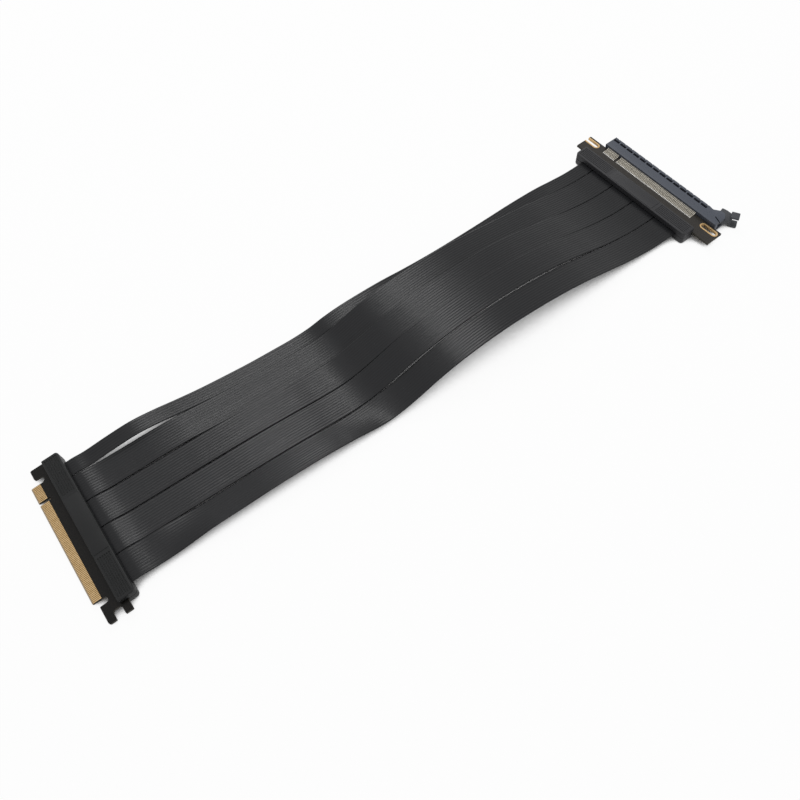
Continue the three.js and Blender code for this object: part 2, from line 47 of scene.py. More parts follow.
# Camera, in the part's own frame
CAMERA_PLACE = Vector((-436.3, -269.5, 495.4))
CAMERA_AIM = Vector((-236.0, -26.6, 0.0))
CAMERA_FOCUS_PX = 948.9
IMAGE_WIDTH_PX = 800
SENSOR_MM = 36.0

camera_data = bpy.data.cameras.new("camera")
camera_data.sensor_width = SENSOR_MM
camera_data.lens = SENSOR_MM * CAMERA_FOCUS_PX / IMAGE_WIDTH_PX
camera_data.clip_start = 0.01
camera = bpy.data.objects.new("camera", camera_data)
camera.location = CAMERA_PLACE * MM
camera.rotation_mode = "QUATERNION"
camera.rotation_quaternion = (CAMERA_AIM - CAMERA_PLACE).to_track_quat("-Z", "Y")
bpy.context.scene.collection.objects.link(camera)
bpy.context.scene.camera = camera

# Sizes shared with the solids
CLEARANCE = 0.3
BEYOND = 5
BOARD_THICKNESS = 1.6
HALF_BOARD = BOARD_THICKNESS / 2
BOARD_BACK = 0.2
BOARD_LIP = 1.1
HOUSING_LENGTH = 103.4
HOUSING_DEPTH = 10.8
HOUSING_HEIGHT = 9.6
CONTACT_SIDE = HOUSING_DEPTH / 2
HALF_LENGTH = HOUSING_LENGTH / 2
HALF_HEIGHT = HOUSING_HEIGHT / 2
HOUSING_WALL = 1.5
RIBBON_CORNER = 2.0
CONTACT_CORNER = 0.7
EDGE_BREAK = 0.5
PANEL_LENGTH = 41
PANEL_RISE = 0.25
PANEL_INSET = 0.7
GRIP_GROOVES = 6
GRIP_PITCH = 1.4
GRIP_GAP = 2.6
GRIP_END = 1.6
GROOVE_RADIUS = 0.37
GROOVE_DEPTH = 0.4
BOARD_INSIDE = HALF_LENGTH - HOUSING_WALL - CLEARANCE
BOARD_PASS = CONTACT_SIDE - BOARD_LIP
SHORT_CONTACTS = 11
LONG_CONTACTS = 71
CARD_MARGIN = 0.55
KEY_WIDTH = 1.9
ROW_SPAN = SHORT_CONTACTS + LONG_CONTACTS - 2 + 2 * CARD_MARGIN + KEY_WIDTH
TONGUE_WIDTH = ROW_SPAN + 2 * CARD_MARGIN
KEY_MIDDLE = ROW_SPAN / 2 - (SHORT_CONTACTS - 1) - CARD_MARGIN - KEY_WIDTH / 2
RIBBON_WIDTHS = [10.6, 19.4, 19.4, 19.4, 19.4]
RIBBON_GAP = 0.35
RIBBON_THICKNESS = 1.1
RIBBON_ENTRY = 1.8
RIBBON_LEAD = 4.6

# The housings' own frames: the slot's stands upright at the origin, and the plug's is read
# from the mounts on its board face and card edge
SLOT_PLACE = Matrix.Translation((0, 0, HALF_HEIGHT))
mounts = {mount["name"]: mount for mount in frame["record"]["mounts"]}
face_mount, edge_mount = mounts["plug_board_face"], mounts["plug_card_edge"]
plug_x, plug_z = Vector(edge_mount["axis"]), Vector(face_mount["axis"])
plug_y = plug_z.cross(plug_x)
FACE_MOUNT_AT = Vector((9.0, 0.7, HALF_BOARD))
plug_turn = Matrix((plug_x, plug_y, plug_z)).transposed()
plug_origin = Vector(face_mount["pos_m"]) / MM - plug_turn @ FACE_MOUNT_AT
PLUG_PLACE = Matrix.Translation(plug_origin) @ plug_turn.to_4x4()


def contact_places():
    """The contacts' places along the slot, with the short group first."""
    places = [ROW_SPAN / 2 - i for i in range(SHORT_CONTACTS)]
    restart = KEY_MIDDLE - KEY_WIDTH / 2 - CARD_MARGIN
    return places + [restart - i for i in range(LONG_CONTACTS)]


# Ribbons: each lay is a list of [x, height of the ribbon's middle] between the housings
BOW = 2.0
RIBBON_LAYS = [
    [(-406, 7.0), (-391, 8.9), (-375, 10.2), (-360, 8.8), (-344, 6.0), (-328, 3.7), (-310, 2.1),
     (-293, 1.0), (-276, 0.7), (-260, 0.7), (-248, 1.9), (-236, 4.8), (-222, 6.7), (-192, 7.3),
     (-170, 5.8), (-146, 4.9), (-118, 5.1), (-96, 5.8), (-76, 6.6), (-52, 6.5), (-36, 5.0),
     (-22, 4.2)],
    [(-406, 6.2), (-388, 6.3), (-370, 6.8), (-352, 6.6), (-334, 5.0), (-316, 3.8), (-298, 2.8),
     (-280, 2.1), (-264, 1.9), (-252, 2.6), (-240, 4.8), (-228, 9.4), (-214, 14.2), (-196, 17.6),
     (-170, 20.0), (-146, 20.4), (-124, 18.4), (-96, 14.8), (-72, 11.6), (-56, 8.6), (-40, 5.9),
     (-24, 4.2)],
    [(-406, 5.9), (-388, 5.6), (-370, 5.7), (-352, 5.9), (-330, 5.8), (-310, 5.2), (-288, 4.2),
     (-272, 3.3), (-258, 3.4), (-246, 5.6), (-234, 9.4), (-216, 15.6), (-196, 20.0), (-170, 23.0),
     (-146, 23.8), (-122, 22.8), (-96, 18.6), (-72, 13.2), (-52, 8.2), (-36, 5.4), (-24, 4.4)],
    [(-407, 5.7), (-390, 5.3), (-372, 5.3), (-352, 5.3), (-330, 5.5), (-310, 5.2), (-290, 4.2),
     (-274, 3.3), (-260, 3.4), (-248, 5.4), (-236, 9.4), (-216, 17.0), (-194, 22.2), (-166, 25.2),
     (-142, 25.6), (-118, 23.8), (-92, 19.2), (-70, 13.4), (-52, 8.6), (-36, 5.6), (-24, 4.4)],
    [(-408, 6.4), (-392, 6.5), (-374, 6.9), (-354, 7.3), (-332, 8.3), (-312, 8.3), (-296, 7.6),
     (-280, 6.0), (-266, 4.9), (-254, 4.9), (-242, 6.8), (-230, 10.4), (-214, 16.4), (-196, 21.2),
     (-168, 24.6), (-144, 24.6), (-120, 22.6), (-94, 18.4), (-72, 13.0), (-54, 8.6), (-38, 5.8),
     (-24, 4.4)],
]
LEANING_RIBBON = 4
LEAN_START = -402
LEAN_END = -246
LEAN_RAMP = 34
LEAN_ANGLE = math.radians(15)
RIDGE_PITCH = 1.75
RIDGE_DEPTH = 0.17
EDGE_HEIGHT = 0.22
RIBBON_STEP = 1.9
RIBBON_SHRINK = 0.03


def smooth_step(value, low, high):
    share = min(max((value - low) / (high - low), 0), 1)
    return share * share * (3 - 2 * share)


def lean_at(x):
    rise = smooth_step(x, LEAN_START, LEAN_START + LEAN_RAMP)
    fall = smooth_step(x, LEAN_END - LEAN_RAMP, LEAN_END)
    return LEAN_ANGLE * (rise - fall)


def lane_middles():
    """Each ribbon's middle across the bundle, from the far side to the near side."""
    across = sum(RIBBON_WIDTHS) + RIBBON_GAP * (len(RIBBON_WIDTHS) - 1)
    edge, middles = across / 2, []
    for width in RIBBON_WIDTHS:
        middles.append(edge - width / 2)
        edge -= width + RIBBON_GAP
    return middles


def ribbon_points(index):
    """The route's points: straight out of both housings, and the chosen lay between them."""
    lane = lane_middles()[index]
    inner = RIBBON_ENTRY - CONTACT_SIDE
    leads = [inner, -CONTACT_SIDE, -CONTACT_SIDE - RIBBON_LEAD]
    starts = [PLUG_PLACE @ Vector((x, -lane, 0)) for x in leads]
    ends = [SLOT_PLACE @ Vector((x, lane, 0)) for x in reversed(leads)]
    lay = []
    for x, height in RIBBON_LAYS[index]:
        share = (x - starts[-1].x) / (ends[0].x - starts[-1].x)
        aside = BOW * math.sin(math.pi * share) ** 2
        lay.append(Vector((x, starts[-1].y + (ends[0].y - starts[-1].y) * share - aside, height)))
    return starts + lay + ends


def between(near, knots, t):
    """The point at t on the smooth line from near[1] to near[2], by the knots' own spacing."""
    wide = [near[k].lerp(near[k + 1], (t - knots[k]) / (knots[k + 1] - knots[k])) for k in range(3)]
    tight = [wide[k].lerp(wide[k + 1], (t - knots[k]) / (knots[k + 2] - knots[k])) for k in range(2)]
    return tight[0].lerp(tight[1], (t - knots[1]) / (knots[2] - knots[1]))


def smooth_route(points, step):
    """The smooth line through the points, cut into steps of about one length."""
    padded = [points[0] * 2 - points[1], *points, points[-1] * 2 - points[-2]]
    line = []
    for near in zip(padded, padded[1:], padded[2:], padded[3:]):
        knots = [0.0]
        for a, b in zip(near, near[1:]):
            knots.append(knots[-1] + (b - a).length ** 0.5)
        count = max(round((near[2] - near[1]).length / step), 1)
        for i in range(count):
            line.append(between(near, knots, knots[1] + (knots[2] - knots[1]) * i / count))
    line.append(points[-1].copy())
    return line


def ribbon_profile(width):
    """The ribbon's section, anticlockwise, with a round ridge over each wire on both faces."""
    ridges = round((width - 0.4) / RIDGE_PITCH)
    top = RIBBON_THICKNESS / 2
    half = []
    for ridge in range(ridges):
        for part in (0, 0.14, 0.35, 0.65, 0.86):
            across = -width / 2 + width * (ridge + part) / ridges
            half.append([across, top - RIDGE_DEPTH * (1 - math.sin(math.pi * part))])
    half.append([width / 2, EDGE_HEIGHT])
    half[0][1] = EDGE_HEIGHT
    return [(across, -height) for across, height in half] + list(reversed(half))


def section_places(line, leans):
    """A frame at each point of the route: width, surface and travel directions."""
    places = []
    for i, point in enumerate(line):
        travel = (line[min(i + 1, len(line) - 1)] - line[max(i - 1, 0)]).normalized()
        side = Vector((-travel.y, travel.x, 0)).normalized()
        if leans:
            side = Quaternion(travel, -lean_at(point.x)) @ side
        turn = Matrix((side, travel.cross(side), travel)).transposed()
        places.append(Matrix.Translation(point) @ turn.to_4x4())
    return places


def verts_of(items):
    return [item for item in items if isinstance(item, bmesh.types.BMVert)]


def ribbon_mesh(index, line):
    """The ribbon's section drawn along its route, with its places across and along kept."""
    places = section_places(line, index == LEANING_RIBBON)
    bm = bmesh.new()
    across_layer = bm.verts.layers.float.new("across")
    along_layer = bm.verts.layers.float.new("along")
    ring = []
    for across, height in ribbon_profile(RIBBON_WIDTHS[index] - 2 * RIBBON_SHRINK):
        vert = bm.verts.new((across, height, 0))
        vert[across_layer] = across * MM
        ring.append(vert)
    edges = [bm.edges.new((a, b)) for a, b in zip(ring, ring[1:] + ring[:1])]
    bmesh.ops.contextual_create(bm, geom=edges)
    bmesh.ops.transform(bm, matrix=places[0], verts=ring)
    along = 0.0
    for before, after in zip(places, places[1:]):
        made = bmesh.ops.extrude_edge_only(bm, edges=edges)["geom"]
        edges = [item for item in made if isinstance(item, bmesh.types.BMEdge)]
        ring = verts_of(made)
        bmesh.ops.transform(bm, matrix=after @ before.inverted(), verts=ring)
        along += (after.translation - before.translation).length
        for vert in ring:
            vert[along_layer] = along * MM
    bmesh.ops.contextual_create(bm, geom=edges)
    return bm


def finish_piece(bm, name, body, material, replaced=(), place=None, sharp=35,
                 edge=0.0):
    """Turns a shape in millimetres into a piece in metres with its body, slot and finish."""
    bmesh.ops.remove_doubles(bm, verts=bm.verts, dist=1e-4)
    if place is not None:
        bmesh.ops.transform(bm, matrix=place, verts=bm.verts)
    bmesh.ops.scale(bm, vec=(MM, MM, MM), verts=bm.verts)
    bmesh.ops.recalc_face_normals(bm, faces=bm.faces)
    mesh = bpy.data.meshes.new(name)
    bm.to_mesh(mesh)
    bm.free()
    mesh.materials.append(material)
    mesh.polygons.foreach_set("use_smooth", [True] * len(mesh.polygons))
    mesh.set_sharp_from_angle(angle=math.radians(sharp))
    piece = bpy.data.objects.new(name, mesh)
    bpy.context.scene.collection.objects.link(piece)
    if edge:
        bevel = piece.modifiers.new("edges", "BEVEL")
        bevel.width = edge * MM
        bevel.segments = 2
        bevel.limit_method = "ANGLE"
        bevel.angle_limit = math.radians(50)
        bevel.harden_normals = True
    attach(piece, body)
    if replaced:
        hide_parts(*replaced)
    return piece


def carve(body, cutter, operation="DIFFERENCE"):
    """Cuts one closed shape by another, or joins them, and returns the result."""
    pair = []
    for name, source in (("carved", body), ("carver", cutter)):
        mesh = bpy.data.meshes.new(name)
        source.to_mesh(mesh)
        source.free()
        made = bpy.data.objects.new(name, mesh)
        bpy.context.scene.collection.objects.link(made)
        pair.append(made)
    modifier = pair[0].modifiers.new("carve", "BOOLEAN")
    modifier.operation = operation
    modifier.solver = "EXACT"
    modifier.object = pair[1]
    result = bmesh.new()
    result.from_object(pair[0], bpy.context.evaluated_depsgraph_get())
    for made in pair:
        mesh = made.data
        bpy.data.objects.remove(made)
        bpy.data.meshes.remove(mesh)
    return result


def add_block(bm, x, y, z):
    """Adds a box between the low and high value on each axis."""
    middle = Vector((sum(x) / 2, sum(y) / 2, sum(z) / 2))
    size = Vector((x[1] - x[0], y[1] - y[0], z[1] - z[0]))
    matrix = Matrix.Translation(middle) @ Matrix.Diagonal((*size, 1))
    bmesh.ops.create_cube(bm, size=1, matrix=matrix)
    return bm


def block(x, y, z):
    return add_block(bmesh.new(), x, y, z)


def round_edges(bm, edges, offset, segments):
    bmesh.ops.bevel(bm, geom=list(edges), offset=offset, offset_type="OFFSET", segments=segments,
                    profile=0.5, affect="EDGES", material=-1, clamp_overlap=True)


def plate(corners, low, high, segments=5):
    """A plate between two heights, from (x, y, radius) corners in order round its outline."""
    bm = bmesh.new()
    ring = [bm.verts.new((corner[0], corner[1], low)) for corner in corners]
    edges = [bm.edges.new((a, b)) for a, b in zip(ring, ring[1:] + ring[:1])]
    face = bmesh.ops.contextual_create(bm, geom=edges)["faces"]
    raised = bmesh.ops.extrude_face_region(bm, geom=face)["geom"]
    bmesh.ops.translate(bm, vec=(0, 0, high - low), verts=verts_of(raised))
    bmesh.ops.recalc_face_normals(bm, faces=bm.faces)
    for i, corner in enumerate(corners):
        if len(corner) < 3 or corner[2] == 0:
            continue
        here = Vector(corner[:2])
        back = Vector(corners[i - 1][:2]) - here
        ahead = Vector(corners[(i + 1) % len(corners)][:2]) - here
        upright = [edge for edge in bm.edges
                   if all((vert.co.xy - here).length < 1e-4 for vert in edge.verts)]
        round_edges(bm, upright, corner[2] / math.tan(back.angle(ahead) / 2), segments)
    return bm


def bar(corners, y, segments=5):
    """An outline in X and Z drawn out between two places along Y."""
    bm = plate(corners, 0, y[1] - y[0], segments)
    bmesh.ops.rotate(bm, matrix=Matrix.Rotation(math.pi / 2, 3, "X"), verts=bm.verts)
    bmesh.ops.translate(bm, vec=(0, y[1], 0), verts=bm.verts)
    return bm


def soften(bm, width, segments=2, top=True, bottom=True):
    """Rounds the outline edges of a plate's broad faces."""
    edges = []
    for edge in bm.edges:
        if len(edge.link_faces) != 2 or edge.calc_face_angle(0) < math.radians(50):
            continue
        rise = max((face.normal.z for face in edge.link_faces), key=abs)
        if (top and rise > 0.99) or (bottom and rise < -0.99):
            edges.append(edge)
    round_edges(bm, edges, width, segments)
    return bm


def add_rod(bm, x, y, z, radius, segments=16):
    """Adds a round bar between two places along Y."""
    matrix = Matrix.Translation((x, sum(y) / 2, z)) @ Matrix.Rotation(math.pi / 2, 4, "X")
    bmesh.ops.create_cone(bm, cap_ends=True, segments=segments, radius1=radius, radius2=radius,
                          depth=y[1] - y[0], matrix=matrix)
    return bm


def repeat(bm, offsets):
    """Copies a shape to every offset."""
    first = bm.verts[:] + bm.edges[:] + bm.faces[:]
    for offset in offsets[1:]:
        made = bmesh.ops.duplicate(bm, geom=first)["geom"]
        bmesh.ops.translate(bm, vec=Vector(offset) - Vector(offsets[0]), verts=verts_of(made))
    bmesh.ops.translate(bm, vec=offsets[0], verts=bm.verts)
    return bm


def merge(first, second):
    """Puts a second shape into the same mesh as the first."""
    mesh = bpy.data.meshes.new("merged")
    second.to_mesh(mesh)
    second.free()
    first.from_mesh(mesh)
    bpy.data.meshes.remove(mesh)
    return first


def turned_over(bm):
    """The shape's mirror image below the board's middle plane."""
    bmesh.ops.scale(bm, vec=(1, 1, -1), verts=bm.verts)
    bmesh.ops.reverse_faces(bm, faces=bm.faces)
    return bm


def both_faces(make):
    """A shape and its mirror image on the board's other face, in one mesh."""
    return merge(make(), turned_over(make()))


# Materials


class Nodes:
    """A node tree with short ways to add nodes and join them."""

    def __init__(self, tree):
        self.tree = tree

    def add(self, kind, settings=None, **inputs):
        node = self.tree.nodes.new(kind)
        for name, value in (settings or {}).items():
            setattr(node, name, value)
        for name, value in inputs.items():
            self.feed(node, name.replace("_", " "), value)
        return node

    def feed(self, node, name, value):
        socket = node.inputs[name] if isinstance(name, int) else self.input_named(node, name)
        if isinstance(value, bpy.types.NodeSocket):
            self.tree.links.new(value, socket)
        else:
            socket.default_value = value

    @staticmethod
    def input_named(node, name):
        matches = [socket for socket in node.inputs if socket.name == name and socket.enabled]
        return matches[0]

    def math(self, operation, first, second=0.0, clamp=False):
        node = self.add("ShaderNodeMath", {"operation": operation, "use_clamp": clamp})
        self.feed(node, 0, first)
        self.feed(node, 1, second)
        return node.outputs[0]

    def mix(self, factor, first, second, blend="MIX"):
        node = self.add("ShaderNodeMix", {"data_type": "RGBA", "blend_type": blend})
        self.feed(node, "Factor", factor)
        self.feed(node, "A", first)
        self.feed(node, "B", second)
        return [socket for socket in node.outputs if socket.enabled][0]

    def range(self, value, low, high, new_low, new_high):
        node = self.add("ShaderNodeMapRange")
        for name, item in (("Value", value), ("From Min", low), ("From Max", high),
                           ("To Min", new_low), ("To Max", new_high)):
            self.feed(node, name, item)
        return node.outputs["Result"]

    def noise(self, vector, scale, detail=3.0, roughness=0.55):
        node = self.add("ShaderNodeTexNoise", None, Vector=vector, Scale=scale, Detail=detail,
                        Roughness=roughness)
        return node.outputs["Fac"]

    def place(self):
        return self.add("ShaderNodeTexCoord").outputs["Object"]

    def scaled(self, vector, scale):
        node = self.add("ShaderNodeMapping")
        self.feed(node, "Vector", vector)
        self.feed(node, "Scale", scale)
        return node.outputs["Vector"]


def node_group(name, inputs, outputs):
    """A shader node group with named float inputs and outputs."""
    tree = bpy.data.node_groups.new(name, "ShaderNodeTree")
    for label, default in inputs:
        kind = "NodeSocketVector" if default is None else "NodeSocketFloat"
        socket = tree.interface.new_socket(name=label, in_out="INPUT", socket_type=kind)
        if default is not None:
            socket.default_value = default
    for label in outputs:
        tree.interface.new_socket(name=label, in_out="OUTPUT", socket_type="NodeSocketFloat")
    nodes = Nodes(tree)
    return tree, nodes, nodes.add("NodeGroupInput").outputs, nodes.add("NodeGroupOutput")


def grain_group():
    """Spark-eroded mould grain: fine pits with a slower change of gloss over them."""
    tree, nodes, given, result = node_group(
        "mould_grain", [("Vector", None), ("Grain Scale", 3500.0), ("Cloud Scale", 60.0)],
        ["Height", "Cloud"])
    pits = nodes.noise(given["Vector"], given["Grain Scale"], 2.0)
    cloud = nodes.noise(given["Vector"], given["Cloud Scale"], 4.0, 0.6)
    nodes.feed(result, "Height", pits)
    nodes.feed(result, "Cloud", cloud)
    return tree


def dust_group():
    """Sparse specks and faint handling marks, from 0 where clean to 1."""
    tree, nodes, given, result = node_group(
        "handling_marks", [("Vector", None), ("Speck Scale", 900.0), ("Amount", 0.5)],
        ["Specks", "Smears"])
    cells = nodes.add("ShaderNodeTexVoronoi", None, Vector=given["Vector"],
                      Scale=given["Speck Scale"])
    near = nodes.range(cells.outputs["Distance"], 0.05, 0.16, 1.0, 0.0)
    chance = nodes.add("ShaderNodeSeparateColor", None, Color=cells.outputs["Color"])
    rare = nodes.math("GREATER_THAN", chance.outputs["Red"], 0.93)
    specks = nodes.math("MULTIPLY", nodes.math("MULTIPLY", near, rare), given["Amount"])
    patches = nodes.noise(given["Vector"], 28.0, 5.0, 0.62)
    smears = nodes.math("MULTIPLY", nodes.range(patches, 0.52, 0.72, 0.0, 1.0), given["Amount"])
    nodes.feed(result, "Specks", specks)
    nodes.feed(result, "Smears", smears)
    return tree


GRAIN = grain_group()
MARKS = dust_group()


def material(name, roughness=0.5, specular=0.5, metallic=0.0, coat=0.0, coat_roughness=0.1):
    """A material with its shader's plain values set, and its nodes to build on."""
    made = bpy.data.materials.new(name)
    made.use_nodes = True
    shader = made.node_tree.nodes["Principled BSDF"]
    shader.inputs["Roughness"].default_value = roughness
    shader.inputs["Specular IOR Level"].default_value = specular
    shader.inputs["Metallic"].default_value = metallic
    shader.inputs["Coat Weight"].default_value = coat
    shader.inputs["Coat Roughness"].default_value = coat_roughness
    return made, Nodes(made.node_tree), shader


def add_group(nodes, tree, **values):
    node = nodes.add("ShaderNodeGroup", {"node_tree": tree})
    for name, value in values.items():
        nodes.feed(node, name.replace("_", " "), value)
    return node.outputs


def bump(nodes, height, distance, strength=1.0, normal=None):
    node = nodes.add("ShaderNodeBump", None, Height=height, Distance=distance, Strength=strength)
    if normal is not None:
        nodes.feed(node, "Normal", normal)
    return node.outputs["Normal"]


def moulded_plastic(name, dark, light, roughness, specular, grain_scale=3500.0,
                    grain_depth=0.000005, marks=0.5):
    """Moulded plastic: grain, cloudy gloss and a few handling marks."""
    made, nodes, shader = material(name, roughness, specular)
    place = nodes.place()
    grain = add_group(nodes, GRAIN, Vector=place, Grain_Scale=grain_scale)
    wear = add_group(nodes, MARKS, Vector=place, Amount=marks)
    colour = nodes.mix(grain["Cloud"], (*dark, 1), (*light, 1))
    colour = nodes.mix(nodes.math("MULTIPLY", wear["Specks"], 0.35), colour, (0.30, 0.29, 0.27, 1))
    nodes.feed(shader, "Base Color", colour)
    gloss = nodes.range(grain["Cloud"], 0.3, 0.7, roughness + 0.05, roughness - 0.05)
    gloss = nodes.math("SUBTRACT", gloss, nodes.math("MULTIPLY", wear["Smears"], 0.07))
    nodes.feed(shader, "Roughness", gloss)
    nodes.feed(shader, "Normal", bump(nodes, grain["Height"], grain_depth))
    return made


def jacket_material():
    """Extruded ribbon jacket: faint drawing lines along it, slow waves and a satin gloss."""
    made, nodes, shader = material("ribbon_jacket", 0.28, 0.22)
    across = nodes.add("ShaderNodeAttribute", {"attribute_name": "across"}).outputs["Fac"]
    along = nodes.add("ShaderNodeAttribute", {"attribute_name": "along"}).outputs["Fac"]
    lane = nodes.add("ShaderNodeCombineXYZ", None, X=across, Y=along).outputs["Vector"]
    place = nodes.place()
    lines = nodes.noise(nodes.scaled(lane, (5200.0, 14.0, 1.0)), 1.0, 2.0)
    streaks = nodes.noise(nodes.scaled(lane, (420.0, 5.0, 1.0)), 1.0, 3.0)
    waves = nodes.noise(nodes.scaled(lane, (30.0, 34.0, 1.0)), 1.0, 2.0)
    wear = add_group(nodes, MARKS, Vector=place, Speck_Scale=520.0, Amount=0.6)
    colour = nodes.mix(streaks, (0.0085, 0.0088, 0.0102, 1), (0.0180, 0.0184, 0.0200, 1))
    colour = nodes.mix(nodes.math("MULTIPLY", wear["Specks"], 0.25), colour, (0.20, 0.20, 0.20, 1))
    nodes.feed(shader, "Base Color", colour)
    gloss = nodes.range(streaks, 0.3, 0.7, 0.32, 0.26)
    gloss = nodes.math("SUBTRACT", gloss, nodes.math("MULTIPLY", wear["Smears"], 0.03))
    nodes.feed(shader, "Roughness", gloss)
    rough = bump(nodes, lines, 0.000004)
    nodes.feed(shader, "Normal", bump(nodes, waves, 0.0004, 0.5, rough))
    return made


def mask_material(name, dark, light, specular):
    """Dark solder mask: a glossy film with the copper's pattern showing faintly through it."""
    made, nodes, shader = material(name, 0.36, specular)
    place = nodes.place()
    cloud = nodes.noise(place, 240.0, 3.0)
    tracks = nodes.add("ShaderNodeTexVoronoi", {"feature": "DISTANCE_TO_EDGE"}, Vector=place,
                       Scale=620.0)
    raised = nodes.range(tracks.outputs["Distance"], 0.03, 0.10, 1.0, 0.0)
    colour = nodes.mix(nodes.math("MULTIPLY", raised, 0.45), (*dark, 1), (*light, 1))
    nodes.feed(shader, "Base Color", colour)
    nodes.feed(shader, "Roughness", nodes.range(cloud, 0.3, 0.7, 0.28, 0.40))
    nodes.feed(shader, "Normal", bump(nodes, raised, 0.00003, 0.5))
    return made


def laminate_material(name, dark, light):
    """Cut edge of the board: layered glass cloth in resin."""
    made, nodes, shader = material(name, 0.7, 0.3)
    place = nodes.place()
    layers = nodes.noise(nodes.scaled(place, (300.0, 300.0, 5200.0)), 1.0, 3.0)
    nodes.feed(shader, "Base Color", nodes.mix(layers, (*dark, 1), (*light, 1)))
    nodes.feed(shader, "Normal", bump(nodes, layers, 0.00004))
    return made


def metal_material(name, dark, light, roughness, grain_scale, depth=0.00001):
    """Plated or tinned metal: small changes of tone and brightness, and a soft brushed bump."""
    made, nodes, shader = material(name, roughness, 0.5, 1.0)
    place = nodes.place()
    tone = nodes.noise(place, grain_scale, 4.0, 0.6)
    fine = nodes.noise(place, grain_scale * 9, 2.0)
    nodes.feed(shader, "Base Color", nodes.mix(nodes.range(tone, 0.3, 0.7, 0, 1),
                                               (*dark, 1), (*light, 1)))
    nodes.feed(shader, "Roughness", nodes.range(fine, 0.3, 0.7, roughness - 0.05,
                                                roughness + 0.09))
    nodes.feed(shader, "Normal", bump(nodes, fine, depth))
    return made


def glue_material():
    """Milky hot-melt glue with soft lumps."""
    made, nodes, shader = material("wire_glue", 0.42, 0.45)
    place = nodes.place()
    lumps = nodes.noise(place, 380.0, 3.0)
    nodes.feed(shader, "Base Color", nodes.mix(lumps, (0.20, 0.19, 0.165, 1),
                                               (0.32, 0.31, 0.28, 1)))
    nodes.feed(shader, "Roughness", nodes.range(lumps, 0.3, 0.7, 0.36, 0.50))
    nodes.feed(shader, "Normal", bump(nodes, lumps, 0.0002, 0.6))
    return made


PLUG_SHELL = moulded_plastic("plug_shell_plastic", (0.0105, 0.0110, 0.0113),
                             (0.0150, 0.0155, 0.0160), 0.50, 0.24)
SLOT_SHELL = moulded_plastic("slot_shell_plastic", (0.0260, 0.0260, 0.0285),
                             (0.0350, 0.0350, 0.0380), 0.48, 0.28)
SLOT_PLASTIC = moulded_plastic("slot_plastic", (0.062, 0.071, 0.092), (0.080, 0.090, 0.114),
                               0.45, 0.35, 2600.0, 0.000004, 0.4)
# Painted shade: near-black plastic for the window floors, standing in for the shade deep in the slot
# body's side windows
WINDOW_SHADE_PLASTIC = moulded_plastic("window_painted_shade_plastic", (0.010, 0.011, 0.016), (0.016, 0.018, 0.024),
                                 0.55, 0.15, 2600.0, 0.000004, 0.2)
LATCH_PLASTIC = moulded_plastic("latch_plastic", (0.050, 0.053, 0.060), (0.068, 0.072, 0.081),
                                0.48, 0.32, 2600.0, 0.000004, 0.4)
JACKET = jacket_material()
PLUG_MASK = mask_material("plug_solder_mask", (0.0052, 0.0048, 0.0045),
                          (0.0180, 0.0150, 0.0115), 0.16)
SLOT_MASK = mask_material("slot_solder_mask", (0.0260, 0.0225, 0.0190),
                          (0.0480, 0.0410, 0.0330), 0.25)
LAMINATE = laminate_material("laminate_edge", (0.020, 0.018, 0.014), (0.060, 0.053, 0.040))
TIP_LAMINATE = laminate_material("tip_laminate", (0.36, 0.27, 0.17), (0.56, 0.44, 0.30))
GOLD = metal_material("contact_gold", (0.47, 0.31, 0.14), (0.60, 0.42, 0.22), 0.42, 420.0)
TIN = metal_material("tinned_leg", (0.30, 0.28, 0.235), (0.46, 0.43, 0.375), 0.48, 700.0)
SOLDER = metal_material("solder_fillet", (0.58, 0.57, 0.55), (0.80, 0.79, 0.76), 0.38, 900.0)
GLUE = glue_material()

# Ribbons, each a flat cord between the housings
for number, lane in enumerate(lane_middles()):
    route = smooth_route(ribbon_points(number), RIBBON_STEP)
    ribbon = finish_piece(ribbon_mesh(number, route), f"ribbon_jacket_{number + 1}", "riser",
                          JACKET, [f"ribbon_{number + 1}"], sharp=70)


# Housings


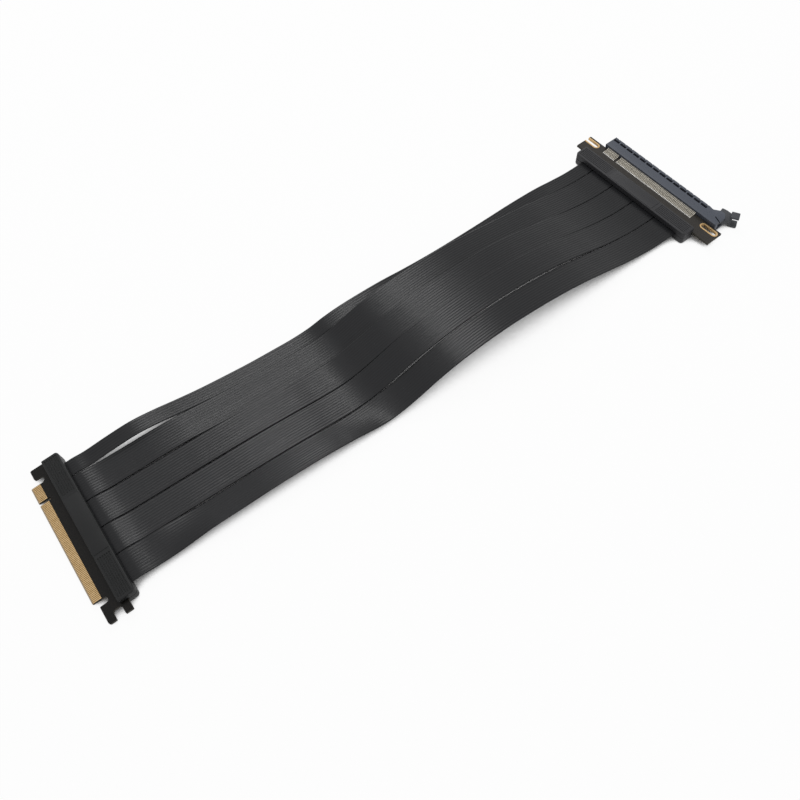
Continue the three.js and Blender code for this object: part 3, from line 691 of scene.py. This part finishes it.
def shell_half(end_pass=None):
    """The upper half of a housing, with its board leaving at +X and its ribbons at -X."""
    face = HALF_HEIGHT - PANEL_RISE
    half = plate([
        (-CONTACT_SIDE, -HALF_LENGTH, RIBBON_CORNER), (CONTACT_SIDE, -HALF_LENGTH, CONTACT_CORNER),
        (CONTACT_SIDE, HALF_LENGTH, CONTACT_CORNER), (-CONTACT_SIDE, HALF_LENGTH, RIBBON_CORNER),
    ], CLEARANCE / 2, face, 6)
    soften(half, EDGE_BREAK, 3, bottom=False)
    side, end = CONTACT_SIDE - PANEL_INSET, PANEL_LENGTH / 2
    panel = plate([(-side, -end, 0.4), (side, -end, 0.4), (side, end, 0.4), (-side, end, 0.4)],
                  face - PANEL_RISE, HALF_HEIGHT, 3)
    half = carve(half, soften(panel, 0.12, 2, bottom=False), "UNION")
    grooves = bmesh.new()
    run = [PANEL_LENGTH / 2 + GRIP_GAP, HALF_LENGTH - GRIP_END]
    for i in range(GRIP_GROOVES):
        x = (i - (GRIP_GROOVES - 1) / 2) * GRIP_PITCH
        for y in (run, [-run[1], -run[0]]):
            add_rod(grooves, x, y, face + GROOVE_RADIUS - GROOVE_DEPTH, GROOVE_RADIUS)
    half = carve(half, grooves)
    inside = [CONTACT_SIDE - HOUSING_WALL, HALF_LENGTH - HOUSING_WALL]
    rooms = block([-inside[0], inside[0]], [-inside[1], inside[1]], [-BEYOND, face - HOUSING_WALL])
    half = carve(half, rooms)
    board_room = HALF_BOARD + CLEARANCE
    opening = block([CONTACT_SIDE - HOUSING_WALL - 0.01, CONTACT_SIDE + BEYOND],
                    [-HALF_LENGTH - BEYOND, HALF_LENGTH + BEYOND], [-BEYOND, board_room])
    half = carve(half, opening)
    if end_pass is not None:
        half = carve(half, block([end_pass - CLEARANCE, CONTACT_SIDE + BEYOND],
                                 [BOARD_INSIDE - BEYOND, HALF_LENGTH + BEYOND],
                                 [-BEYOND, board_room]))
    bundle = sum(RIBBON_WIDTHS) / 2 + 2 * RIBBON_GAP + CLEARANCE
    return carve(half, block([-CONTACT_SIDE - BEYOND, -inside[0] + CLEARANCE], [-bundle, bundle],
                             [-BEYOND, RIBBON_THICKNESS / 2 + CLEARANCE]))


def add_housing(prefix, place, plastic, end_pass=None):
    for level, turn in (("upper", lambda bm: bm), ("lower", turned_over)):
        finish_piece(turn(shell_half(end_pass)), f"{prefix}_{level}_half", "riser", plastic,
                     [f"{prefix}_{level}_shell"], place, edge=0.1)


PLUG_HOOK_NOTCH_AT = CONTACT_SIDE - CLEARANCE
PLUG_EAR_BACK = PLUG_HOOK_NOTCH_AT - 4.7
add_housing("slot", SLOT_PLACE, SLOT_SHELL)
add_housing("plug", PLUG_PLACE, PLUG_SHELL, PLUG_EAR_BACK)
for name in ("slot_wire_glue", "plug_wire_glue"):
    frame["nodes"][name].data.materials[0] = GLUE


def board_piece(bm, name, replaced, place, mask, tip=math.inf):
    """A board with mask on its broad faces, dark cut edges, and a pale bevel past the tip."""
    bmesh.ops.recalc_face_normals(bm, faces=bm.faces)
    for face in bm.faces:
        cut_edge = 0 if abs(face.normal.z) > 0.98 else 1
        face.material_index = 2 if face.calc_center_median().x > tip else cut_edge
    made = finish_piece(bm, name, "riser", mask, [replaced], place)
    made.data.materials.append(LAMINATE)
    made.data.materials.append(TIP_LAMINATE)
    return made


def round_slot(x, y, length, width, z, segments=8):
    """An upright slot with round ends, along Y."""
    reach, half = length / 2, width / 2
    return plate([(x - half, y - reach, half), (x + half, y - reach, half),
                  (x + half, y + reach, half), (x - half, y + reach, half)], *z, segments)


# Plug board
TIP = CONTACT_SIDE + 12.9
FINGER_LENGTH = 5.1
FINGER_WIDTH = 0.7
FINGER_RISE = 0.08
TIP_BEVEL = 0.8
TIP_BEVEL_DEPTH = 0.35
TONGUE_SHIFT = 0.7
TONGUE_LOW = TONGUE_SHIFT - TONGUE_WIDTH / 2
TONGUE_HIGH = TONGUE_SHIFT + TONGUE_WIDTH / 2
KEY_Y = TONGUE_SHIFT - KEY_MIDDLE
KEY_END = TIP - 7.7
TAB_END = 52.4
TAB_INNER = -TAB_END + 7.0
TAB_SLOT_END = CONTACT_SIDE + 3.5
TAB_SLOT_RADIUS = (TONGUE_LOW - TAB_INNER) / 2
HOOK_INNER = TONGUE_HIGH + 3.8
HOOK_SLOT_END = CONTACT_SIDE + 4.2
HOOK_TIP = CONTACT_SIDE + 10.1
HOOK_END = 58.5
NOTCH_SIZE = 5.7
NOTCH_RADIUS = 1.9


def plug_board_shape():
    notch_start = PLUG_HOOK_NOTCH_AT + NOTCH_SIZE
    notch_floor = HOOK_END - NOTCH_SIZE
    board = plate([
        (-BOARD_BACK, -BOARD_INSIDE), (BOARD_PASS, -BOARD_INSIDE), (BOARD_PASS, -TAB_END),
        (CONTACT_SIDE + 8.8, -TAB_END, 1.0), (CONTACT_SIDE + 8.8, TAB_INNER, 0.9),
        (TAB_SLOT_END, TAB_INNER, TAB_SLOT_RADIUS * 0.98),
        (TAB_SLOT_END, TONGUE_LOW, TAB_SLOT_RADIUS * 0.98),
        (TIP, TONGUE_LOW, 0.4), (TIP, KEY_Y - KEY_WIDTH / 2),
        (KEY_END, KEY_Y - KEY_WIDTH / 2, KEY_WIDTH * 0.49),
        (KEY_END, KEY_Y + KEY_WIDTH / 2, KEY_WIDTH * 0.49), (TIP, KEY_Y + KEY_WIDTH / 2),
        (TIP, TONGUE_HIGH, 0.4), (HOOK_SLOT_END, TONGUE_HIGH, 3.8 * 0.49),
        (HOOK_SLOT_END, HOOK_INNER, 3.8 * 0.49), (HOOK_TIP, HOOK_INNER, 0.5),
        (HOOK_TIP, HOOK_END, 1.3), (notch_start, HOOK_END, 0.4),
        (notch_start, notch_floor, NOTCH_RADIUS), (PLUG_HOOK_NOTCH_AT, notch_floor, NOTCH_RADIUS),
        (PLUG_HOOK_NOTCH_AT, HOOK_END, 0.4), (PLUG_EAR_BACK, HOOK_END, 0.4),
        (PLUG_EAR_BACK, BOARD_INSIDE), (-BOARD_BACK, BOARD_INSIDE),
    ], -HALF_BOARD, HALF_BOARD, 6)
    slope = TIP_BEVEL_DEPTH * (1 + 1 / TIP_BEVEL)

    def wedge():
        return bar([(TIP - TIP_BEVEL, HALF_BOARD), (TIP + 1, HALF_BOARD - slope),
                    (TIP + 1, HALF_BOARD + 1), (TIP - TIP_BEVEL, HALF_BOARD + 1)],
                   [TONGUE_LOW - 1, TONGUE_HIGH + 1])

    return carve(carve(board, wedge()), turned_over(wedge()))


def finger_row():
    """The gold fingers on one face, each a thin pad with rounded corners."""
    end = TIP - TIP_BEVEL
    half = FINGER_WIDTH / 2
    finger = plate([(end - FINGER_LENGTH, -half, 0.12), (end, -half), (end, half),
                    (end - FINGER_LENGTH, half, 0.12)],
                   HALF_BOARD - 0.02, HALF_BOARD + FINGER_RISE, 2)
    return repeat(finger, [(0, TONGUE_SHIFT - y, 0) for y in contact_places()])


board_piece(plug_board_shape(), "plug_card", "plug_board", PLUG_PLACE, PLUG_MASK,
            TIP - TIP_BEVEL)
finish_piece(both_faces(finger_row), "plug_fingers", "riser", GOLD,
             place=PLUG_PLACE)

# Slot board
SLOT_EDGE = CONTACT_SIDE + 13.2
LEFT_EAR_END = 59.3
RIGHT_EAR_END = 65.5
SCREW_SLOTS = (54.6, -57.6)
SCREW_SLOT_WIDTH = 3.4
SCREW_SLOT_LENGTH = 12.6
SCREW_SLOT_X = SLOT_EDGE - 4.0
PLATING_WIDTH = 0.95
PLATING_RISE = 0.08


def slot_board_shape():
    board = plate([
        (-BOARD_BACK, -BOARD_INSIDE), (BOARD_PASS, -BOARD_INSIDE), (BOARD_PASS, -RIGHT_EAR_END),
        (SLOT_EDGE, -RIGHT_EAR_END), (SLOT_EDGE, LEFT_EAR_END), (BOARD_PASS, LEFT_EAR_END),
        (BOARD_PASS, BOARD_INSIDE), (-BOARD_BACK, BOARD_INSIDE),
    ], -HALF_BOARD, HALF_BOARD)
    for y in SCREW_SLOTS:
        board = carve(board, round_slot(SCREW_SLOT_X, y, SCREW_SLOT_LENGTH, SCREW_SLOT_WIDTH,
                                        [-BEYOND, BEYOND]))
    return board


def plated_ring(y):
    """Gold plating round a screw slot, on both faces and down the slot's wall."""
    wide = 2 * PLATING_WIDTH
    top = HALF_BOARD + PLATING_RISE

    def pad():
        return round_slot(SCREW_SLOT_X, y, SCREW_SLOT_LENGTH + wide, SCREW_SLOT_WIDTH + wide,
                          [HALF_BOARD - 0.02, top])

    inner = [SCREW_SLOT_LENGTH - 0.16, SCREW_SLOT_WIDTH - 0.16]
    sleeve = round_slot(SCREW_SLOT_X, y, SCREW_SLOT_LENGTH + 0.1, SCREW_SLOT_WIDTH + 0.1,
                        [-top, top])
    ring = carve(carve(pad(), sleeve, "UNION"), turned_over(pad()), "UNION")
    ring = carve(ring, round_slot(SCREW_SLOT_X, y, *inner, [-BEYOND, BEYOND]))
    limits = block([BOARD_PASS, SLOT_EDGE], [-RIGHT_EAR_END, LEFT_EAR_END], [-BEYOND, BEYOND])
    return carve(ring, limits, "INTERSECT")


board_piece(slot_board_shape(), "slot_card", "slot_board", SLOT_PLACE, SLOT_MASK)
for side, y in zip(("left", "right"), SCREW_SLOTS):
    finish_piece(plated_ring(y), f"screw_slot_plating_{side}", "riser", GOLD,
                 place=SLOT_PLACE)

# Slot body
SLOT_BACK = SLOT_EDGE + CLEARANCE
SLOT_MOUTH = SLOT_BACK + 11.0
SLOT_HALF = 7.5 / 2
SLOT_END_WALL = 2.8
SLOT_FAR_END = TONGUE_WIDTH / 2 + SLOT_END_WALL
CARD_GAP = 1.9
CARD_DEPTH = 7.9
MOUTH_BEVEL = 0.7
KEY_WALL = 1.5
WINDOWS = 14
WINDOW_LENGTH = 5.3
WINDOW_WIDTH = 1.9
WINDOW_DEPTH = 1.2
WINDOW_SETBACK = 2.9
RIM_NOTCH_PITCH = 6.52
RIM_NOTCH_WIDTH = 0.8
RIM_NOTCH_REACH = 1.5
RIM_NOTCH_DEPTH = 0.6
CHEEK_THICKNESS = 1.55
CHEEK_END = -SLOT_FAR_END - 14.1
CHEEK_BULGE = SLOT_MOUTH + 2.7
CHEEK_WAIST = SLOT_MOUTH - 0.6
CHEEK_WAIST_LENGTH = 3.4
CHEEK_RISE = 4.6
CHEEK_SHOULDER = 2.9
CHEEK_ROUND = 1.7
FOOT_HEIGHT = 3.0
POCKET_START = 2.4
LATCH_GAP = SLOT_HALF - CHEEK_THICKNESS
PIVOT = Vector((SLOT_BACK + 6.1, -SLOT_FAR_END - 8.8))
PIVOT_RADIUS = 0.9
PIVOT_LENGTH = 0.75
SNAP_WIDTH = 0.9
SNAP_SLANT = 2.2


def slot_body_shape():
    half = SLOT_HALF
    root = -SLOT_FAR_END + SLOT_END_WALL
    waist_end = -SLOT_FAR_END - CHEEK_WAIST_LENGTH
    body = plate([
        (SLOT_BACK, SLOT_FAR_END), (SLOT_BACK, CHEEK_END, CHEEK_ROUND / 2),
        (CHEEK_WAIST, CHEEK_END, CHEEK_ROUND),
        (CHEEK_BULGE, CHEEK_END + CHEEK_SHOULDER, CHEEK_ROUND),
        (CHEEK_BULGE, waist_end - CHEEK_RISE, CHEEK_ROUND),
        (CHEEK_WAIST, waist_end, CHEEK_ROUND / 2), (SLOT_MOUTH, -SLOT_FAR_END),
        (SLOT_MOUTH, SLOT_FAR_END),
    ], -half, half)
    soften(body, 0.25, 2)
    body = carve(body, block([SLOT_BACK + FOOT_HEIGHT, CHEEK_BULGE + 1],
                             [CHEEK_END - 1, -SLOT_FAR_END - POCKET_START],
                             [-LATCH_GAP, LATCH_GAP]))
    reach = LATCH_GAP + PIVOT_LENGTH
    socket = bmesh.new()
    matrix = Matrix.Translation((*PIVOT, 0))
    bmesh.ops.create_cone(socket, cap_ends=True, segments=28, radius1=PIVOT_RADIUS + CLEARANCE,
                          radius2=PIVOT_RADIUS + CLEARANCE, depth=2 * reach, matrix=matrix)
    body = carve(body, socket)
    snap, lean = SNAP_WIDTH / 2, SNAP_SLANT
    body = carve(body, plate([
        (PIVOT.x - snap, PIVOT.y), (PIVOT.x - snap - lean, CHEEK_END - 1),
        (PIVOT.x + snap - lean, CHEEK_END - 1), (PIVOT.x + snap, PIVOT.y),
    ], -half - 1, half + 1))
    high, gap = TONGUE_WIDTH / 2 + CLEARANCE, CARD_GAP / 2
    for run in ([-high, KEY_MIDDLE - KEY_WALL / 2], [KEY_MIDDLE + KEY_WALL / 2, high]):
        body = carve(body, bar([
            (SLOT_MOUTH - CARD_DEPTH, -gap), (SLOT_MOUTH - MOUTH_BEVEL, -gap),
            (SLOT_MOUTH + 1, -gap - MOUTH_BEVEL - 1), (SLOT_MOUTH + 1, gap + MOUTH_BEVEL + 1),
            (SLOT_MOUTH - MOUTH_BEVEL, gap), (SLOT_MOUTH - CARD_DEPTH, gap),
        ], run))
    windows, notches = bmesh.new(), bmesh.new()
    pitch = 2 * SLOT_FAR_END / WINDOWS
    x = SLOT_MOUTH - WINDOW_SETBACK
    for i in range(WINDOWS):
        y = SLOT_FAR_END - (i + 0.5) * pitch
        notch_y = SLOT_FAR_END - pitch / 2 - i * RIM_NOTCH_PITCH
        for face in (-1, 1):
            add_block(windows, [x - WINDOW_WIDTH / 2, x + WINDOW_WIDTH / 2],
                      [y - WINDOW_LENGTH / 2, y + WINDOW_LENGTH / 2],
                      sorted([face * (half - WINDOW_DEPTH), face * (half + 1)]))
            add_block(notches, [SLOT_MOUTH - RIM_NOTCH_REACH, SLOT_MOUTH + 1],
                      [notch_y - RIM_NOTCH_WIDTH / 2, notch_y + RIM_NOTCH_WIDTH / 2],
                      sorted([face * (half - RIM_NOTCH_DEPTH), face * (half + 1)]))
    return carve(carve(body, windows), notches)


LEG_WIDTH = 0.42
LEG_THICKNESS = 0.26
LEG_REACH = 5.1
LEG_BEND = 1.5
LEG_RISE = 1.2
LEG_LOW = HALF_BOARD + 0.12


def leg_row():
    """Legs on one face: a flat foot on the board and a bend up into the slot body."""
    low, high = LEG_LOW, LEG_LOW + LEG_THICKNESS
    leg = bar([
        (SLOT_BACK - LEG_REACH, low), (SLOT_BACK - LEG_BEND, low, 0.5),
        (SLOT_BACK + 0.2, low + LEG_RISE), (SLOT_BACK + 0.2, high + LEG_RISE),
        (SLOT_BACK - LEG_BEND - 0.1, high, 0.6), (SLOT_BACK - LEG_REACH, high, 0.12),
    ], [-LEG_WIDTH / 2, LEG_WIDTH / 2], 2)
    return repeat(leg, [(0, y, 0) for y in contact_places()])


def solder_row():
    """Solder fillets where the feet meet their pads, at the feet's tips and heels."""
    fillets = bmesh.new()
    for x, length in ((SLOT_BACK - LEG_REACH, 0.9), (SLOT_BACK - LEG_BEND + 0.1, 0.7)):
        matrix = (Matrix.Translation((x, 0, HALF_BOARD + 0.02))
                  @ Matrix.Diagonal((length, 0.30, 0.26, 1)))
        bmesh.ops.create_icosphere(fillets, subdivisions=2, radius=1, matrix=matrix)
    return repeat(fillets, [(0, y, 0) for y in contact_places()])


def pad_row():
    """The tinned pads under the feet."""
    pad = block([SLOT_BACK - LEG_REACH - 0.7, SLOT_BACK - 0.5], [-0.3, 0.3],
                [HALF_BOARD - 0.02, HALF_BOARD + 0.05])
    return repeat(pad, [(0, y, 0) for y in contact_places()])


def spring_row():
    """Spring contacts inside the card slot, bowed towards the card."""
    gap = CARD_GAP / 2
    spring = bar([
        (SLOT_MOUTH - CARD_DEPTH + 0.2, gap + 0.1), (SLOT_MOUTH - CARD_DEPTH + 0.2, gap - 0.1),
        (SLOT_MOUTH - 3.4, gap - 0.42, 1.2), (SLOT_MOUTH - 1.3, gap - 0.06),
        (SLOT_MOUTH - 1.3, gap + 0.1), (SLOT_MOUTH - 3.4, gap - 0.2, 1.2),
    ], [-0.2, 0.2], 3)
    return repeat(spring, [(0, y, 0) for y in contact_places()])


def window_floors():
    """Window floors on one face, with a rib along each, to carry painted shade in the deep windows.
    """
    x = SLOT_MOUTH - WINDOW_SETBACK
    deep = SLOT_HALF - WINDOW_DEPTH
    floors = block([x - WINDOW_WIDTH / 2, x + WINDOW_WIDTH / 2],
                   [-WINDOW_LENGTH / 2, WINDOW_LENGTH / 2], [deep - 0.05, deep + 0.03])
    add_block(floors, [x + 0.25, x + 0.7], [-WINDOW_LENGTH / 2, WINDOW_LENGTH / 2],
              [deep, SLOT_HALF - 0.5])
    pitch = 2 * SLOT_FAR_END / WINDOWS
    return repeat(floors, [(0, SLOT_FAR_END - (i + 0.5) * pitch, 0) for i in range(WINDOWS)])


finish_piece(slot_body_shape(), "slot_body_moulding", "riser", SLOT_PLASTIC,
             ["slot_body"], SLOT_PLACE, edge=0.06)
# The window floors take the near-black plastic as painted shade for the deep windows
finish_piece(both_faces(window_floors), "window_painted_shade_floors", "riser", WINDOW_SHADE_PLASTIC,
             place=SLOT_PLACE)
for name, row, metal in (("solder_legs", leg_row, TIN), ("leg_solder", solder_row, SOLDER),
                         ("leg_pads", pad_row, TIN), ("card_springs", spring_row, GOLD)):
    finish_piece(both_faces(row), name, "riser", metal, place=SLOT_PLACE)

# Latch
LATCH_HUB = 2.2
LATCH_TOP = 12.9
NOSE_LENGTH = 4.0
NOSE_REACH = 3.0
NOSE_ROUND = 0.8
THUMB_ANGLE = math.radians(60)
THUMB_START = 10.1
THUMB_ASIDE = 5.3
THUMB_WIDTH = 5.8
THUMB_LENGTH = 5.8
THUMB_ROUND = 0.5
FORK_ROOT = 1.4
PRONG_THICKNESS = 1.5
PRONG_SPAN = 9.1


def latch_shape():
    half = LATCH_GAP - CLEARANCE
    along = Vector((math.cos(THUMB_ANGLE), -math.sin(THUMB_ANGLE)))
    across = Vector((-along.y, along.x))
    low, high = THUMB_ASIDE - THUMB_WIDTH / 2, THUMB_ASIDE + THUMB_WIDTH / 2

    def at(run, side, radius=0.0):
        return (*(PIVOT + along * run + across * side), radius)

    nose = PIVOT + Vector((LATCH_TOP, NOSE_REACH))
    hub = LATCH_HUB
    web = plate([
        (PIVOT.x - hub, PIVOT.y - hub, hub * 0.9),
        at(THUMB_START, low), at(THUMB_START + FORK_ROOT, low), at(THUMB_START + FORK_ROOT, high),
        (nose.x, nose.y - NOSE_LENGTH, NOSE_ROUND), (nose.x - NOSE_ROUND, nose.y, NOSE_ROUND),
        (nose.x - NOSE_LENGTH - NOSE_ROUND, nose.y - NOSE_ROUND, NOSE_ROUND),
        (PIVOT.x + hub, PIVOT.y + hub), (PIVOT.x - hub, PIVOT.y + hub, hub * 0.9),
    ], -half, half)
    thumb = plate([
        at(THUMB_START, low, THUMB_ROUND), at(THUMB_START + THUMB_LENGTH, low, THUMB_ROUND),
        at(THUMB_START + THUMB_LENGTH, high, THUMB_ROUND), at(THUMB_START, high, THUMB_ROUND),
    ], -PRONG_SPAN / 2, PRONG_SPAN / 2, 3)
    fork_gap = PRONG_SPAN / 2 - PRONG_THICKNESS
    fork = plate([
        at(THUMB_START + FORK_ROOT, low - 1), at(THUMB_START + THUMB_LENGTH + 1, low - 1),
        at(THUMB_START + THUMB_LENGTH + 1, high + 1), at(THUMB_START + FORK_ROOT, high + 1),
    ], -fork_gap, fork_gap)
    pins = bmesh.new()
    bmesh.ops.create_cone(pins, cap_ends=True, segments=28, radius1=PIVOT_RADIUS,
                          radius2=PIVOT_RADIUS, depth=2 * (LATCH_GAP + PIVOT_LENGTH - CLEARANCE),
                          matrix=Matrix.Translation((*PIVOT, 0)))
    body = carve(soften(web, 0.2, 2), carve(soften(thumb, 0.2, 2), fork), "UNION")
    return carve(body, pins, "UNION")


finish_piece(latch_shape(), "retention_latch", "latch", LATCH_PLASTIC,
             ["latch"], SLOT_PLACE, edge=0.05)

# Floor with painted shade from ambient occlusion, lamps and white surroundings
FLOOR_SIZE = 8.0
FLOOR_WHITE = 0.95
SHADE_REACH = 0.08
SHADE_LOW = 0.30
SHADE_HIGH = 0.48


def seen_white(nodes):
    """1 for rays that should see the white background: camera, gloss and transmission."""
    path = nodes.add("ShaderNodeLightPath").outputs
    both = nodes.math("MAXIMUM", path["Is Camera Ray"], path["Is Glossy Ray"])
    return nodes.math("MAXIMUM", both, path["Is Transmission Ray"])


floor_bm = bmesh.new()
bmesh.ops.create_grid(floor_bm, x_segments=1, y_segments=1, size=FLOOR_SIZE / 2)
floor_mesh = bpy.data.meshes.new("floor")
floor_bm.to_mesh(floor_mesh)
floor_bm.free()
floor = bpy.data.objects.new("floor", floor_mesh)
floor.location = (-0.2, 0, -0.0002)
bpy.context.scene.collection.objects.link(floor)

floor_material = bpy.data.materials.new("white_floor")
floor_material.use_nodes = True
nodes = Nodes(floor_material.node_tree)
for node in list(nodes.tree.nodes):
    nodes.tree.nodes.remove(node)
matt = nodes.add("ShaderNodeBsdfDiffuse", None, Color=(0.95, 0.95, 0.95, 1))
glow = nodes.add("ShaderNodeEmission", None, Color=(1, 1, 1, 1), Strength=1.0)
# Painted shade: ambient occlusion cuts back the floor's white glow, so the floor darkens under and
# between the ribbons and housings
painted_shade_occlusion = nodes.add("ShaderNodeAmbientOcclusion", {"samples": 12}, Distance=SHADE_REACH)
glow_with_painted_shade = nodes.range(painted_shade_occlusion.outputs["AO"], SHADE_LOW, SHADE_HIGH, 0.0, FLOOR_WHITE)
share = nodes.math("MULTIPLY", seen_white(nodes), glow_with_painted_shade)
blend = nodes.add("ShaderNodeMixShader")
nodes.feed(blend, 0, share)
nodes.feed(blend, 1, matt.outputs[0])
nodes.feed(blend, 2, glow.outputs[0])
surface = nodes.add("ShaderNodeOutputMaterial", None, Surface=blend.outputs[0])
floor_mesh.materials.append(floor_material)

world = bpy.data.worlds.new("studio")
world.use_nodes = True
bpy.context.scene.world = world
nodes = Nodes(world.node_tree)
background = world.node_tree.nodes["Background"]
background.inputs["Color"].default_value = (1, 1, 1, 1)
AMBIENT = 0.42
strength = nodes.range(seen_white(nodes), 0, 1, AMBIENT, 1.0)
nodes.feed(background, "Strength", strength)


def add_lamp(name, place, aim, size, power):
    """A rectangular soft lamp, with place and aim in metres."""
    lamp = bpy.data.lights.new(name, "AREA")
    lamp.shape = "RECTANGLE"
    lamp.size, lamp.size_y = size
    lamp.energy = power
    made = bpy.data.objects.new(name, lamp)
    made.location = place
    made.rotation_mode = "QUATERNION"
    made.rotation_quaternion = (Vector(aim) - Vector(place)).to_track_quat("-Z", "Y")
    bpy.context.scene.collection.objects.link(made)


add_lamp("overhead_strip", (0.09, 0.64, 1.23), (-0.2, 0.05, 0.0), (0.16, 1.2), 7.5)
add_lamp("side_fill", (0.6, -1.3, 0.9), (-0.2, 0.0, 0.0), (1.0, 0.7), 2.5)

bpy.context.scene.view_settings.view_transform = "Standard"
